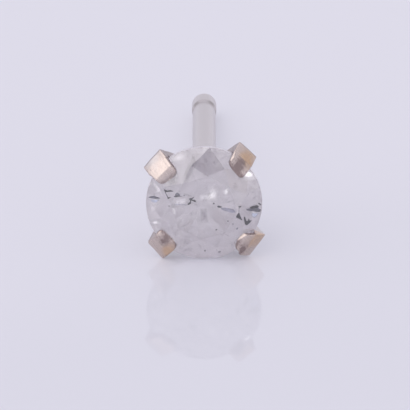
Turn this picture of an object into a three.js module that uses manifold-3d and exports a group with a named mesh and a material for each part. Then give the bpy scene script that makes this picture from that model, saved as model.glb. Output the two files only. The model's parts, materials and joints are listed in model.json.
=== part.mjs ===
// Diamond stud earring: a round brilliant in a four-claw head on a straight ear post.
//
// Millimetres, +Z up. The stud lies unworn on a flat surface, on its two lower claws and the tip of
// its post, with the stone facing -Y. The origin is the middle of the footprint of its bounding box.
//
// The head is drawn in a frame of its own: the girdle lies in the plane z = 0 round the origin, +Z
// points out of the table and the post runs down -Z. Azimuths turn from +X towards +Y, which is the
// head's upper side as it lies.

import * as THREE from "three";
import { mergeVertices } from "three/addons/utils/BufferGeometryUtils.js";
import Module from "manifold-3d";

const wasm = await Module();
wasm.setup();

const degrees = THREE.MathUtils.degToRad;

// The stone.
const STONE_RADIUS = 1.9;
const GIRDLE_SIDES = 96;
const GIRDLE_DEPTH = 0.19; // between the points where the crown and pavilion facets meet it
const TABLE_RADIUS = 0.57 * STONE_RADIUS; // at the table's corners
const KITE_ANGLE = 34.5;
const STAR_ANGLE = 21.5;
const UPPER_HALF_ANGLE = 41;
const MAIN_ANGLE = 40.9;
const LOWER_HALF_ANGLE = 42.2;
const CULET_RADIUS = 0.04;
const STONE_TURN = -5.5; // azimuth of the kite facet nearest +X

// The claws: square bars that lean out from the foot, then bend in along the crown.
const HEAD_DEPTH = 2.25; // from the girdle's plane back to the foot's flat face
const CLAW_FOOT_RADIUS = 0.9; // outer faces of the bars, where they meet the foot
const CLAW_THICKNESS = 0.62; // of the bars, along the radius
const CLAW_BEVEL = 0.04; // along both sides of a bar
const TIP_THICKNESS = 0.18; // of the metal over the crown, along the head's axis
const TIP_RUN = 0.2; // along the radius, of the sloping cut that ends a tip
const SEAT_GAP = 0.02; // between the stone and its claws

// azimuth: where a claw stands. turn: how far its faces are turned from the radius.
// reach, bend: radius and height of the outer corner, where the bar bends in.
// lap: radius that the tip reaches in to, over the crown.
// width, tip: of the bar, and of the tip's inner end, which the bar tapers to over the crown.
const CLAWS = [
  { azimuth: 52.5, turn: -4, width: 0.75, tip: 0.53, reach: 2.33, bend: 0.02, lap: 1.42 },
  { azimuth: 138.5, turn: 2, width: 0.79, tip: 0.59, reach: 2.28, bend: 0.02, lap: 1.48 },
  { azimuth: 227, turn: -5, width: 0.78, tip: 0.62, reach: 2.34, bend: -0.05, lap: 1.54 },
  { azimuth: 318, turn: 0, width: 0.87, tip: 0.66, reach: 2.4, bend: -0.3, lap: 1.6 },
];

// Bearer ring that ties the claws together behind the stone.
const RING_HEIGHT = -1.15;
const RING_DEPTH = 0.4;
const RING_INNER_RADIUS = 1.08;
const RING_OUTER_RADIUS = 1.46;
const RING_SIDES = 64;

// Foot and ear post, turned in one.
const FOOT_RADIUS = 1;
const FOOT_DEPTH = 0.3;
const POST_RADIUS = 0.39;
const POST_SIDES = 32;
const POST_END = -12.15;
const TIP_RADIUS = 0.42;
const TIP_LENGTH = 0.9; // from the groove to the end
const TIP_FLAT_RADIUS = 0.3;
const GROOVE_RADIUS = 0.36;
const GROOVE_LENGTH = 0.45;
const GROOVE_SLOPE = 0.1;

// Height of the girdle's centre over the surface that the claws' lower corners are filed level to.
const REST_HEIGHT = 1.915;

const diamondMaterial = new THREE.MeshStandardMaterial({
  color: 0xd8d3de,
  roughness: 0.04,
  metalness: 0,
  transparent: true,
  opacity: 0.6,
  flatShading: true,
});
const whiteGoldMaterial = new THREE.MeshStandardMaterial({
  color: 0xc9b8a6,
  roughness: 0.3,
  metalness: 1,
});

// A closed geometry as a solid that can be joined and cut.
function solidOf(geometry) {
  const bare = geometry.clone();
  bare.deleteAttribute("normal");
  bare.deleteAttribute("uv");
  const merged = mergeVertices(bare, 1e-5);
  const mesh = new wasm.Mesh({
    numProp: 3,
    vertProperties: new Float32Array(merged.attributes.position.array),
    triVerts: new Uint32Array(merged.index.array),
  });
  return new wasm.Manifold(mesh);
}

// A named mesh of a solid.
function meshOf(name, solid, material) {
  const { numProp, numVert, vertProperties, triVerts } = solid.getMesh();
  const points = new Float32Array(numVert * 3);
  for (let i = 0; i < numVert; i += 1) {
    points.set(vertProperties.subarray(i * numProp, i * numProp + 3), i * 3);
  }
  const indexed = new THREE.BufferGeometry();
  indexed.setAttribute("position", new THREE.BufferAttribute(points, 3));
  indexed.setIndex(new THREE.BufferAttribute(new Uint32Array(triVerts), 1));
  const geometry = indexed.toNonIndexed();
  geometry.computeVertexNormals();
  const mesh = new THREE.Mesh(geometry, material);
  mesh.name = name;
  return mesh;
}

// The families of flat cuts that make a round brilliant. Each cut's outward normal leans from +Z by
// lean, towards its azimuth, and its plane holds the point at that azimuth, radius and height.
const HALF_STEP = 11.25;
const CROWN_HEIGHT =
  GIRDLE_DEPTH / 2 + (STONE_RADIUS - TABLE_RADIUS) * Math.tan(degrees(KITE_ANGLE));
const CULET_HEIGHT =
  -GIRDLE_DEPTH / 2 - (STONE_RADIUS - CULET_RADIUS) * Math.tan(degrees(MAIN_ANGLE));
const HALF_RADIUS = STONE_RADIUS * Math.cos(degrees(HALF_STEP));
const STAR_RADIUS = TABLE_RADIUS * Math.cos(degrees(2 * HALF_STEP));
const FACET_ROWS = [
  { facet: "table", count: 1, first: 0, lean: 0, radius: 0, height: CROWN_HEIGHT },
  {
    facet: "star",
    count: 8,
    first: 2 * HALF_STEP,
    lean: STAR_ANGLE,
    radius: STAR_RADIUS,
    height: CROWN_HEIGHT,
  },
  {
    facet: "kite",
    count: 8,
    first: 0,
    lean: KITE_ANGLE,
    radius: STONE_RADIUS,
    height: GIRDLE_DEPTH / 2,
  },
  {
    facet: "upper half",
    count: 16,
    first: HALF_STEP,
    lean: UPPER_HALF_ANGLE,
    radius: HALF_RADIUS,
    height: GIRDLE_DEPTH / 2,
  },
  {
    facet: "lower half",
    count: 16,
    first: HALF_STEP,
    lean: 180 - LOWER_HALF_ANGLE,
    radius: HALF_RADIUS,
    height: -GIRDLE_DEPTH / 2,
  },
  {
    facet: "main",
    count: 8,
    first: 0,
    lean: 180 - MAIN_ANGLE,
    radius: STONE_RADIUS,
    height: -GIRDLE_DEPTH / 2,
  },
  { facet: "culet", count: 1, first: 0, lean: 180, radius: 0, height: CULET_HEIGHT },
];

// A block that takes away all that lies outside one facet, moved outwards by growth.
function facetCutter({ lean, radius, height }, azimuth, growth) {
  const side = 6 * STONE_RADIUS;
  const block = new THREE.BoxGeometry(side, side, side);
  block.translate(0, 0, side / 2 + growth);
  block.rotateY(degrees(lean));
  block.translate(radius, 0, height);
  block.rotateZ(degrees(azimuth));
  return solidOf(block);
}

// The brilliant: a round bar cut by every facet. Grown by a gap, it cuts the claws' seats.
function brilliant(growth) {
  const radius = STONE_RADIUS + growth;
  const bar = new THREE.CylinderGeometry(radius, radius, 3 * STONE_RADIUS, GIRDLE_SIDES);
  bar.rotateX(Math.PI / 2);
  bar.rotateZ(degrees(STONE_TURN));
  let stone = solidOf(bar);
  for (const row of FACET_ROWS) {
    for (let i = 0; i < row.count; i += 1) {
      const azimuth = STONE_TURN + row.first + (i * 360) / row.count;
      stone = stone.subtract(facetCutter(row, azimuth, growth));
    }
  }
  return stone;
}

// The crown's height at a radius, along a kite facet.
function crownHeight(radius) {
  return GIRDLE_DEPTH / 2 + (STONE_RADIUS - radius) * Math.tan(degrees(KITE_ANGLE));
}

// An outline of [x, y] points carried along +Z by depth, with both of its rims bevelled.
function prism(points, depth, bevel) {
  const outline = new THREE.Shape(points.map(([x, y]) => new THREE.Vector2(x, y)));
  const body = new THREE.ExtrudeGeometry(outline, {
    depth: depth - 2 * bevel,
    bevelEnabled: bevel > 0,
    bevelThickness: bevel,
    bevelSize: bevel,
    bevelOffset: -bevel,
    bevelSegments: 1,
  });
  return body.translate(0, 0, bevel);
}

// One claw: its side view, radius against height, carried across its width, with both corners
// trimmed away over the crown, so that the tip tapers.
function claw({ azimuth, turn, width, tip, reach, bend, lap }) {
  const sideView = [
    [CLAW_FOOT_RADIUS - CLAW_THICKNESS, -HEAD_DEPTH],
    [CLAW_FOOT_RADIUS, -HEAD_DEPTH],
    [reach, bend],
    [STONE_RADIUS, crownHeight(STONE_RADIUS) + TIP_THICKNESS],
    [lap + TIP_RUN, crownHeight(lap + TIP_RUN) + TIP_THICKNESS],
    [lap, crownHeight(lap) + 2 * SEAT_GAP],
    [lap, bend],
    [reach - CLAW_THICKNESS, bend],
  ];
  const stand = (body) => {
    body.translate(-STONE_RADIUS, 0, 0);
    body.rotateZ(degrees(turn));
    body.translate(STONE_RADIUS, 0, 0);
    body.rotateZ(degrees(azimuth));
    return solidOf(body);
  };
  const side = prism(sideView, width, CLAW_BEVEL).translate(0, 0, -width / 2);
  let bar = stand(side.rotateX(Math.PI / 2));
  for (const hand of [-1, 1]) {
    const corner = [
      [STONE_RADIUS, (hand * width) / 2],
      [lap, (hand * tip) / 2],
      [0, (hand * tip) / 2],
      [0, hand * width],
      [STONE_RADIUS, hand * width],
    ];
    bar = bar.subtract(stand(prism(corner, STONE_RADIUS, 0)));
  }
  return bar;
}

// A turned body, from its half profile as [radius, height] pairs.
function turned(profile, sides) {
  const points = profile.map(([radius, height]) => new THREE.Vector2(radius, height));
  const body = new THREE.LatheGeometry(points, sides);
  body.rotateX(Math.PI / 2);
  return solidOf(body);
}

function bearerRing() {
  const low = RING_HEIGHT - RING_DEPTH / 2;
  const high = RING_HEIGHT + RING_DEPTH / 2;
  const profile = [
    [RING_INNER_RADIUS, low],
    [RING_OUTER_RADIUS, low],
    [RING_OUTER_RADIUS, high],
    [RING_INNER_RADIUS, high],
    [RING_INNER_RADIUS, low],
  ];
  return turned(profile, RING_SIDES);
}

function footAndPost() {
  const tipStart = POST_END + TIP_RADIUS - TIP_FLAT_RADIUS;
  const grooveLow = POST_END + TIP_LENGTH;
  const grooveHigh = grooveLow + GROOVE_LENGTH;
  const profile = [
    [0, POST_END],
    [TIP_FLAT_RADIUS, POST_END],
    [TIP_RADIUS, tipStart],
    [TIP_RADIUS, grooveLow],
    [GROOVE_RADIUS, grooveLow + GROOVE_SLOPE],
    [GROOVE_RADIUS, grooveHigh - GROOVE_SLOPE],
    [POST_RADIUS, grooveHigh],
    [POST_RADIUS, -HEAD_DEPTH],
    [FOOT_RADIUS, -HEAD_DEPTH],
    [FOOT_RADIUS, FOOT_DEPTH - HEAD_DEPTH],
    [0, FOOT_DEPTH - HEAD_DEPTH],
  ];
  return turned(profile, POST_SIDES);
}

// The tilt at which the surface, REST_HEIGHT below the girdle's centre, touches the post's tip.
const TIP_RIM = -POST_END - (TIP_RADIUS - TIP_FLAT_RADIUS);
const REST_TILT =
  Math.asin(REST_HEIGHT / Math.hypot(TIP_RADIUS, TIP_RIM)) - Math.atan2(TIP_RADIUS, TIP_RIM);

// A block that fills the space below that surface, in the head's frame.
function belowRestSurface() {
  const side = 4 * STONE_RADIUS;
  const block = new THREE.BoxGeometry(side, side, side);
  block.translate(0, -side / 2 - REST_HEIGHT, 0);
  block.rotateX(REST_TILT);
  return solidOf(block);
}

function setting() {
  let metal = bearerRing();
  for (const each of CLAWS) metal = metal.add(claw(each));
  return metal.subtract(belowRestSurface()).subtract(brilliant(SEAT_GAP)).add(footAndPost());
}

const head = new THREE.Group();
head.add(meshOf("diamond", brilliant(0), diamondMaterial));
head.add(meshOf("claw_setting", setting(), whiteGoldMaterial));
head.rotation.x = Math.PI / 2 - REST_TILT;

const group = new THREE.Group();
group.name = "diamond_stud_earring";
group.add(head);
group.updateMatrixWorld(true);
const bounds = new THREE.Box3().setFromObject(group, true);
const middle = bounds.getCenter(new THREE.Vector3());
head.position.set(-middle.x, -middle.y, -bounds.min.z);

export default group;
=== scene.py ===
"""Looks of a diamond stud earring that lies unworn on a glossy pale surface.

The stone is a cloudy brilliant, cut facet by facet. The setting is worn white gold: four claws that
fold over the crown, a bearer ring, a round foot and the ear post. Sizes are in millimetres, in the
head's own frame, and HeadFrame puts them in the row frame, in metres.
"""

import json
import logging
import math
from dataclasses import dataclass, field
from enum import Enum

import bmesh
import bpy
import numpy as np
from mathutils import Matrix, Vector


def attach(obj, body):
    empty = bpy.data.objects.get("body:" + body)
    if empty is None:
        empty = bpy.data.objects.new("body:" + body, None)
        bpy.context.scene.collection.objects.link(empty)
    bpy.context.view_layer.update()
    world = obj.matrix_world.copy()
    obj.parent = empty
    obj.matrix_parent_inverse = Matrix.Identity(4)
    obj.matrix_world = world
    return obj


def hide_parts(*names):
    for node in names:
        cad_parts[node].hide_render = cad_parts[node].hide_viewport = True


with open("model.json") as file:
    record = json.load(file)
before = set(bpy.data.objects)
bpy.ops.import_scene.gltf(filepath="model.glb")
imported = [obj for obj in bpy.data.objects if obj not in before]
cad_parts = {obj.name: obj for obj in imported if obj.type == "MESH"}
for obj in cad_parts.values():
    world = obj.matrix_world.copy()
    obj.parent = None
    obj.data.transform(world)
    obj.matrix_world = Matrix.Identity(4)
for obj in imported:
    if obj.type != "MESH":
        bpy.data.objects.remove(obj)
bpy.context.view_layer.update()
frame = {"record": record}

MM = 0.001
LARGEST_ARC = 0.45  # the most of its shorter side that a corner's arc may take
ARC_STATIONS = 0.25  # how far before and after its corner an arc runs, in stations
LEAST_SWING = 1e-4  # radians that an arc turns through on a straight line
TINY = 1e-9
WAVE_COUNT = 7
OVAL_CORNERS = 16
GIRDLE_STATION, TIP_STATION = 3, 4
log = logging.getLogger("diamond_stud_earring")
Colour = tuple[float, float, float]
Socket = bpy.types.NodeSocket


class Slot(Enum):
    """The record's material slots."""

    DIAMOND = "diamond"
    WHITE_GOLD = "white_gold"


class Cut(Enum):
    """Families of facets on a round brilliant, from the table back to the culet."""

    TABLE = "table"
    STAR = "star"
    KITE = "kite"
    UPPER_HALF = "upper half"
    LOWER_HALF = "lower half"
    MAIN = "main"
    CULET = "culet"


# ---------------------------------------------------------------------------------------------
# Places and shapes
# ---------------------------------------------------------------------------------------------


@dataclass(frozen=True)
class HeadFrame:
    """The head's own frame: the girdle round its origin, z out of the table, y up, x to the right."""

    origin: np.ndarray
    axes: np.ndarray

    @classmethod
    def from_record(cls, record: dict, post_end: float) -> "HeadFrame":
        """Finds the frame from the flat end of the ear post.

        Args:
            record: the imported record, whose mount post_tip lies on the head's axis.
            post_end: height of that end in the head's frame, in millimetres.

        Returns:
            The frame, with its origin in metres and its axes as rows.
        """
        tip = next(mount for mount in record["mounts"] if mount["name"] == "post_tip")
        outwards = -np.array(tip["axis"], float)
        outwards /= np.linalg.norm(outwards)
        across = np.array((1.0, 0.0, 0.0))
        origin = np.array(tip["pos_m"], float) - outwards * post_end * MM
        return cls(origin, np.stack((across, np.cross(outwards, across), outwards)))

    def place(self, points: np.ndarray) -> np.ndarray:
        """Row frame metres of points given in millimetres in the head's frame, in any array shape."""
        return self.origin + np.asarray(points, float) @ self.axes * MM

    def turn(self, directions: np.ndarray) -> np.ndarray:
        """Row frame directions of directions given in the head's frame."""
        return np.asarray(directions, float) @ self.axes


def tangent(degrees: float) -> float:
    """The tangent of an angle in degrees."""
    return math.tan(math.radians(degrees))


def polar(azimuth: np.ndarray | float, radius: np.ndarray | float) -> np.ndarray:
    """Points at an azimuth in degrees and a radius: radius times the angle's cosine and sine."""
    angle = np.radians(azimuth)
    return np.stack((radius * np.cos(angle), radius * np.sin(angle)), -1)


def rounded(corners: np.ndarray, radii: np.ndarray | float, steps: int, closed: bool) -> np.ndarray:
    """An outline whose corners are arcs.

    Each arc touches both sides of its corner: its centre lies on the corner's bisector, radius over
    the sine of half the corner's angle away, and its points swing evenly from one side to the other.
    An arc too big for its sides is made smaller, and a corner on a straight line stays a point.

    Args:
        corners: the corners, one row of two numbers each.
        radii: the arc's radius at each corner, or one for all.
        steps: points in each arc.
        closed: whether the last corner joins the first. If not, both ends stay as they are.

    Returns:
        The outline's points, in order.
    """
    corners = np.asarray(corners, float)
    radius = np.broadcast_to(np.asarray(radii, float), len(corners))[:, None]
    back = np.roll(corners, 1, 0) - corners
    ahead = np.roll(corners, -1, 0) - corners
    lengths = np.stack((np.linalg.norm(back, axis=1), np.linalg.norm(ahead, axis=1)), -1)
    back, ahead = back / lengths[:, :1], ahead / lengths[:, 1:]
    half_angle = np.arccos(np.clip((back * ahead).sum(1), -1, 1))[:, None] / 2
    reach = np.minimum(radius / np.tan(half_angle), LARGEST_ARC * lengths.min(1, keepdims=True))
    radius = reach * np.tan(half_angle)
    between = back + ahead
    bisector = between / np.maximum(np.linalg.norm(between, axis=1, keepdims=True), TINY)
    centre = corners + bisector * radius / np.sin(half_angle)
    first, last = corners + back * reach - centre, corners + ahead * reach - centre
    swing = np.maximum(np.pi - 2 * half_angle, LEAST_SWING)
    share = np.linspace(0, 1, steps)[:, None, None]
    arcs = centre + (np.sin((1 - share) * swing) * first + np.sin(share * swing) * last) / np.sin(swing)
    arcs = arcs.swapaxes(0, 1)
    if closed:
        return arcs.reshape(-1, 2)
    return np.concatenate((corners[:1], arcs[1:-1].reshape(-1, 2), corners[-1:]))


def followed(corners: np.ndarray, radii: np.ndarray, stations: np.ndarray, steps: int = 9) -> np.ndarray:
    """Points along an open line with rounded corners.

    Station i is at corner i, and the corner's arc takes a quarter of a station on both sides of it.

    Args:
        corners: the line's corners.
        radii: the arc's radius at each corner.
        stations: where points are wanted, from 0 to the number of the last corner.
        steps: points in each arc.

    Returns:
        A point for each station.
    """
    line = rounded(corners, radii, steps, closed=False)
    arcs = np.arange(1, len(corners) - 1)[:, None] + np.linspace(-ARC_STATIONS, ARC_STATIONS, steps)
    marks = np.concatenate(([0], arcs.ravel(), [len(corners) - 1]))
    return np.stack([np.interp(stations, marks, column) for column in line.T], -1)


def turned(profile: np.ndarray, sides: int) -> np.ndarray:
    """Rings of a turned body: its profile of (radius, height) swept round the head's axis.

    Args:
        profile: the profile's points, one row each.
        sides: points in each ring.

    Returns:
        An array of rings, points and coordinates.
    """
    around = np.arange(sides) * 360 / sides
    flat = polar(around[None, :], profile[:, :1])
    height = np.broadcast_to(profile[:, 1:], flat.shape[:2])[..., None]
    return np.concatenate((flat, height), -1)


def soft_waves(points: np.ndarray, length: float, depth: float, seed: int) -> np.ndarray:
    """Gentle unevenness over a surface: a sum of sine waves that run in different directions.

    Args:
        points: where it is wanted, in millimetres.
        length: the mean length of a wave.
        depth: the largest height, roughly.
        seed: of the random draw of directions and phases.

    Returns:
        The height at each point.
    """
    draw = np.random.default_rng(seed)
    runs = draw.normal(size=(WAVE_COUNT, 3))
    runs *= 2 * np.pi / length / np.linalg.norm(runs, axis=1, keepdims=True)
    phases = draw.uniform(0, 2 * np.pi, WAVE_COUNT)
    return depth / math.sqrt(WAVE_COUNT) * np.sin(points @ runs.T + phases).sum(-1)


@dataclass
class Skin:
    """A closed surface over rings of points, each ring a closed line.

    The faces join each point to its neighbours in its own ring and the next one. The first and last
    rings are filled flat, or joined to each other where hoop is set. Marks are numbers at each point
    that the finishes read by name, such as how much plating is rubbed off there.
    """

    rings: np.ndarray
    marks: dict[str, np.ndarray]
    hoop: bool = False

    def faces(self, start: int) -> list[list[int]]:
        """Point numbers of every face's corners, turned outwards for rings that run anticlockwise.

        Args:
            start: the number of the surface's first point.

        Returns:
            The faces between rings, then those that fill the ends.
        """
        stations, count = self.rings.shape[:2]
        joins = stations if self.hoop else stations - 1
        here = start + np.arange(joins)[:, None] * count
        there = start + np.arange(1, joins + 1)[:, None] % stations * count
        point = np.arange(count)
        after = (point + 1) % count
        sides = np.stack((here + point, here + after, there + after, there + point), -1).reshape(-1, 4)
        ends = [] if self.hoop else [here[0] + point[::-1], there[-1] + point]
        return sides.tolist() + [end.tolist() for end in ends]


def add_object(name: str, data: bpy.types.ID) -> bpy.types.Object:
    """Puts a mesh or a camera into the scene.

    Args:
        name: of the object.
        data: what it holds.

    Returns:
        The object, at the origin, unturned.
    """
    made = bpy.data.objects.new(name, data)
    bpy.context.scene.collection.objects.link(made)
    return made


def make_piece(
    name: str, skins: list[Skin], place: HeadFrame, material: bpy.types.Material
) -> bpy.types.Object:
    """Makes one Blender object of one or more skins.

    Args:
        name: of the object and its mesh.
        skins: the surfaces, in the head's frame.
        place: the head's frame.
        material: their finish.

    Returns:
        The object, at the origin, with its place in its mesh and nothing below the surface it lies on.
    """
    points = place.place(np.concatenate([skin.rings.reshape(-1, 3) for skin in skins]))
    points[:, 2] = np.maximum(points[:, 2], 0)
    starts = np.cumsum([0] + [skin.rings[..., 0].size for skin in skins])
    faces = [face for start, skin in zip(starts, skins) for face in skin.faces(start)]
    mesh = bpy.data.meshes.new(name)
    mesh.from_pydata(points.tolist(), [], faces)
    mesh.polygons.foreach_set("use_smooth", np.array([len(face) == 4 for face in faces]))
    for mark in skins[0].marks:
        values = [np.broadcast_to(skin.marks[mark], skin.rings.shape[:2]).ravel() for skin in skins]
        layer = mesh.attributes.new(mark, "FLOAT", "POINT")
        layer.data.foreach_set("value", np.concatenate(values).astype(np.float32))
    mesh.materials.append(material)
    point_outwards(mesh)
    return add_object(name, mesh)


def point_outwards(mesh: bpy.types.Mesh) -> None:
    """Turns every face of a closed mesh outwards.

    Args:
        mesh: the mesh, which is changed.
    """
    work = bmesh.new()
    work.from_mesh(mesh)
    bmesh.ops.recalc_face_normals(work, faces=work.faces)
    work.to_mesh(mesh)
    work.free()


# ---------------------------------------------------------------------------------------------
# Finishes
# ---------------------------------------------------------------------------------------------


class Bench:
    """A node tree, filled by short calls."""

    def __init__(self, tree: bpy.types.NodeTree) -> None:
        """Empties the tree and keeps it."""
        self.tree = tree
        tree.nodes.clear()

    @classmethod
    def for_material(cls, name: str) -> tuple[bpy.types.Material, "Bench"]:
        """Starts a material.

        Args:
            name: of the material.

        Returns:
            The material, and the bench for its nodes.
        """
        made = bpy.data.materials.new(name)
        made.use_nodes = True
        return made, cls(made.node_tree)

    def node(self, kind: str, inputs: dict | None = None, **settings: object) -> bpy.types.Node:
        """Adds a node.

        Args:
            kind: the node's type, without its prefix ShaderNode.
            inputs: values or sockets for its inputs, by name or number.
            settings: values for its own settings.

        Returns:
            The node.
        """
        made = self.tree.nodes.new("ShaderNode" + kind)
        for name, value in settings.items():
            setattr(made, name, value)
        for name, value in (inputs or {}).items():
            self.feed(made.inputs[name], value)
        return made

    def feed(self, target: Socket, value: object) -> None:
        """Links a socket to an input, or sets the input to a plain value.

        Args:
            target: the input.
            value: the socket or the plain value.
        """
        if isinstance(value, Socket):
            self.tree.links.new(value, target)
        else:
            target.default_value = value

    def finish(self, look: dict, **volume: Socket) -> None:
        """Ends the tree with a Principled surface.

        Args:
            look: values or sockets for the surface's inputs.
            volume: the socket Volume, where the material has one.
        """
        surface = self.node("BsdfPrincipled", look).outputs[0]
        self.node("OutputMaterial", {"Surface": surface, **volume})

    def coordinates(self) -> Socket:
        """The object's own coordinates, in metres."""
        return self.node("TexCoord").outputs["Object"]

    def mark(self, name: str) -> Socket:
        """A mark that the pieces' skins carry."""
        return self.node("Attribute", attribute_name=name).outputs["Fac"]

    def larger(self, first: object, second: object) -> Socket:
        """The larger of two values."""
        return self.node("Math", {0: first, 1: second}, operation="MAXIMUM").outputs[0]

    def times(self, first: object, second: object) -> Socket:
        """The product of two values."""
        return self.node("Math", {0: first, 1: second}, operation="MULTIPLY").outputs[0]

    def total(self, parts: tuple[tuple[Socket, object], ...], start: object = 0.0) -> Socket:
        """Adds up sockets, each times its own factor.

        Args:
            parts: the sockets, each with its factor, a value or a socket.
            start: a value or socket to start from.

        Returns:
            The sum.
        """
        whole = start
        for socket, factor in parts:
            whole = self.node("Math", {0: socket, 1: factor, 2: whole}, operation="MULTIPLY_ADD").outputs[0]
        return whole

    def dot(self, first: object, second: object) -> Socket:
        """The dot product of two vectors."""
        return self.node("VectorMath", {0: first, 1: second}, operation="DOT_PRODUCT").outputs["Value"]

    def ramp(
        self, value: Socket, low: float, high: float, to_low: float = 0.0, to_high: float = 1.0
    ) -> Socket:
        """Maps a value from the range low to high onto to_low to to_high, with soft ends."""
        inputs = {"Value": value, "From Min": low, "From Max": high, "To Min": to_low, "To Max": to_high}
        return self.node("MapRange", inputs, interpolation_type="SMOOTHSTEP").outputs[0]

    def blend(self, share: object, first: object, second: object) -> Socket:
        """Mixes two colours, share of the way from the first to the second."""
        return self.node("Mix", {0: share, 6: first, 7: second}, data_type="RGBA").outputs[2]

    def noise(self, where: Socket, scale: float, detail: float) -> Socket:
        """Cloudy noise from 0 to 1, with its features one over scale of a metre apart."""
        inputs = {"Vector": where, "Scale": scale, "Detail": detail}
        return self.node("TexNoise", inputs).outputs["Fac"]


def opaque(colour: Colour) -> tuple[float, float, float, float]:
    """A colour with full alpha."""
    return (*colour, 1.0)


@dataclass(frozen=True)
class Grain:
    """Cloudy noise, with the range from low to high stretched from 0 to 1.

    Scale is its features in a metre, and weight its share where it is added to something else.
    """

    scale: float
    detail: float
    low: float
    high: float
    weight: float = 1.0

    def over(self, bench: Bench, where: Socket, lift: object = 0.0, least: float = 0.0) -> Socket:
        """The stretched noise.

        Args:
            bench: the node tree.
            where: the coordinates.
            lift: what is added to the noise before it is stretched.
            least: what low becomes, in place of 0.

        Returns:
            The noise, from least to 1.
        """
        noise = bench.noise(where, self.scale, self.detail)
        return bench.ramp(bench.total(((noise, self.weight),), lift), self.low, self.high, least)


@dataclass(frozen=True)
class Strokes:
    """Noise drawn out along a direction square to the head's axis, stretched from 0 to 1.

    Scales are its features in a metre along that direction, across it, and along the head's axis.
    """

    azimuth: float
    scales: tuple[float, float, float]
    detail: float
    low: float
    high: float

    def over(self, bench: Bench, where: Socket, place: HeadFrame) -> Socket:
        """The strokes.

        Args:
            bench: the node tree.
            where: the coordinates.
            place: the head's frame.

        Returns:
            The noise, from 0 to 1.
        """
        along, across = polar(self.azimuth, 1.0), polar(self.azimuth + 90, 1.0)
        runs = place.turn([(*along, 0), (*across, 0), (0, 0, 1)])
        parts = [bench.dot(where, tuple(run * scale)) for run, scale in zip(runs, self.scales)]
        stretched = bench.node("CombineXYZ", dict(enumerate(parts))).outputs[0]
        return bench.ramp(bench.noise(stretched, 1.0, self.detail), self.low, self.high)


@dataclass(frozen=True)
class CloudyDiamond:
    """Diamond with a haze of tiny inclusions that scatters and dims the light inside it."""

    name: str = "cloudy_diamond"
    tint: Colour = (0.985, 0.975, 0.985)
    roughness: float = 0.0
    clear: float = 1.0
    refraction: float = 2.42
    haze: float = 400.0
    haze_colour: Colour = (1.0, 0.99, 1.0)
    haze_forward: float = 0.35
    shade: float = 21.0
    shade_colour: Colour = (0.24, 0.0, 0.19)

    def material(self) -> bpy.types.Material:
        """Facets over a volume that scatters and absorbs light.

        Returns:
            The material.
        """
        made, bench = Bench.for_material(self.name)
        facets = {
            "Base Color": opaque(self.tint),
            "Roughness": self.roughness,
            "IOR": self.refraction,
            "Transmission Weight": self.clear,
        }
        haze = {"Color": opaque(self.haze_colour), "Density": self.haze, "Anisotropy": self.haze_forward}
        shade = {"Color": opaque(self.shade_colour), "Density": self.shade}
        cloud = bench.node("VolumeScatter", haze).outputs[0]
        grey = bench.node("VolumeAbsorption", shade).outputs[0]
        bench.finish(facets, Volume=bench.node("AddShader", {0: cloud, 1: grey}).outputs[0])
        return made


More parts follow.
